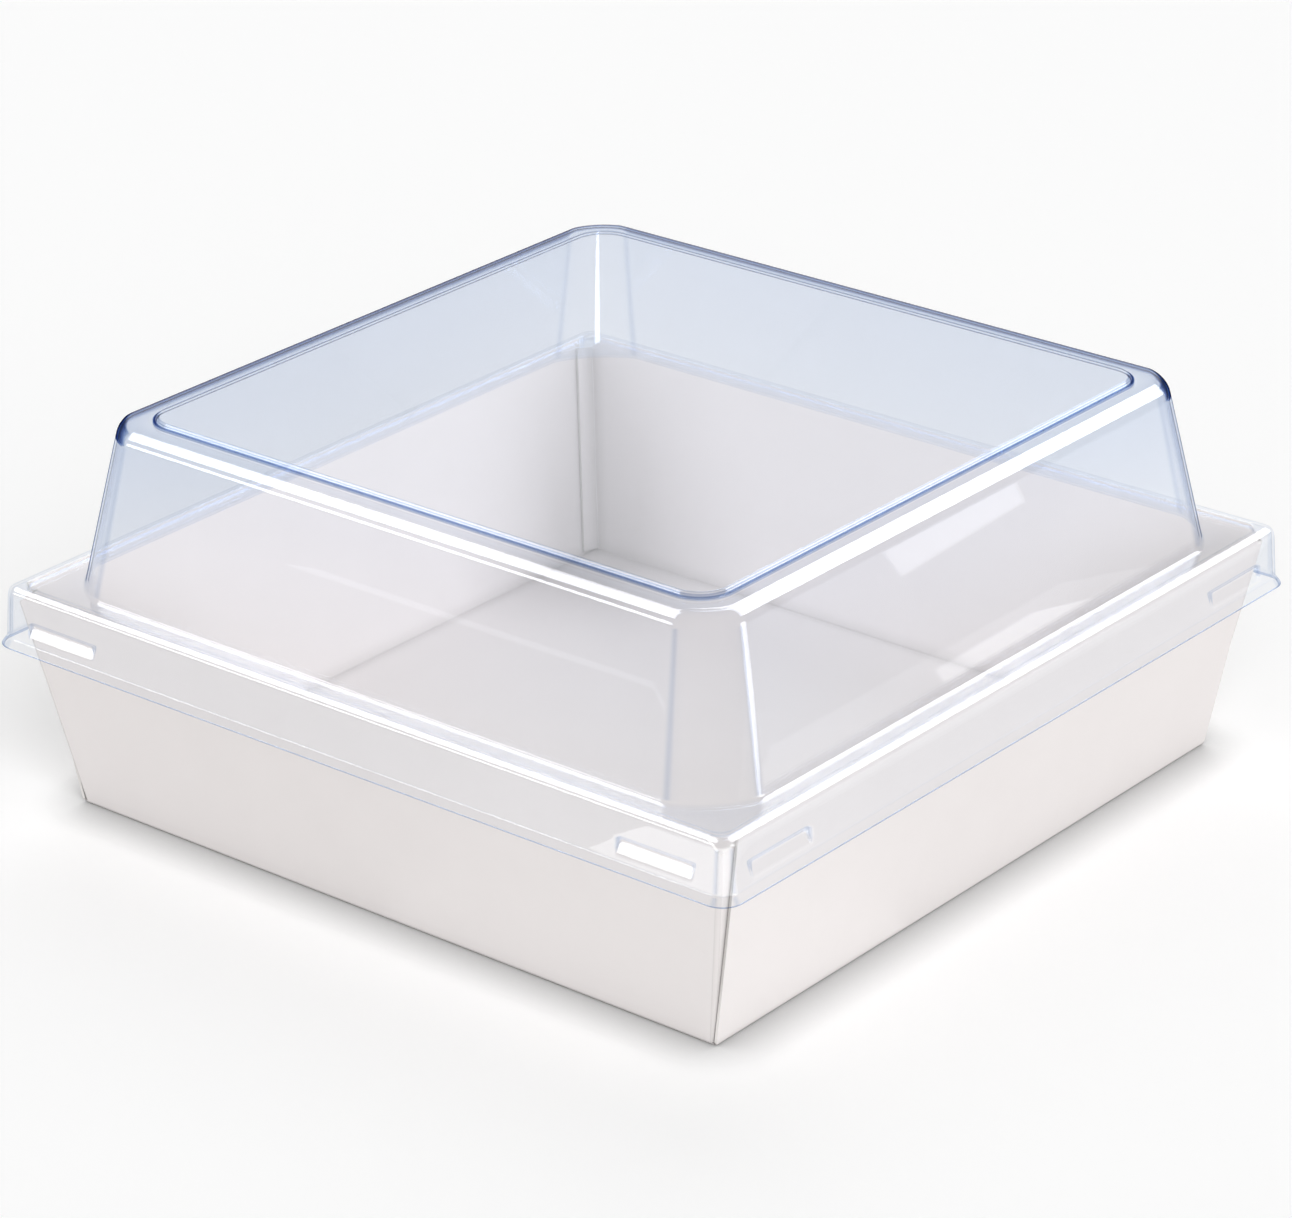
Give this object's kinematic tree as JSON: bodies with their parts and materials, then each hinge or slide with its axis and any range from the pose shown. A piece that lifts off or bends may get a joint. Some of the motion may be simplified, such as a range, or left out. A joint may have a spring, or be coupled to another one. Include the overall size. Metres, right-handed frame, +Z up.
{
  "type": "sushi box",
  "caption": "Square white paperboard sushi tray with flared walls under a clear, tapered dome lid that lifts off, with a stepped flange, snap nubs in its skirt and a flared lip.",
  "frame": {"origin": "centre of the tray's underside, on the surface that the box stands on", "axes": "+Z up, the front wall faces -Y and the right wall faces +X"},
  "size_m": [0.1598, 0.1598, 0.0715],
  "materials": {
    "board": "smooth matt white board",
    "clear_sheet": "clear glossy sheet with a faint blue tint"
  },
  "bodies": {
    "tray": {"tray_base": "board", "tray_wall_front": "board", "tray_wall_right": "board", "tray_wall_back": "board", "tray_wall_left": "board", "corner_tab_front_right": "board", "corner_tab_back_right": "board", "corner_tab_back_left": "board", "corner_tab_front_left": "board"},
    "lid": {"lid": "clear_sheet"}
  },
  "joints": [
    {"name": "lid_lift", "type": "slide", "parent": "tray", "child": "lid", "axis": [0, 0, 1], "range_m": [0, 0.06]}
  ]
}
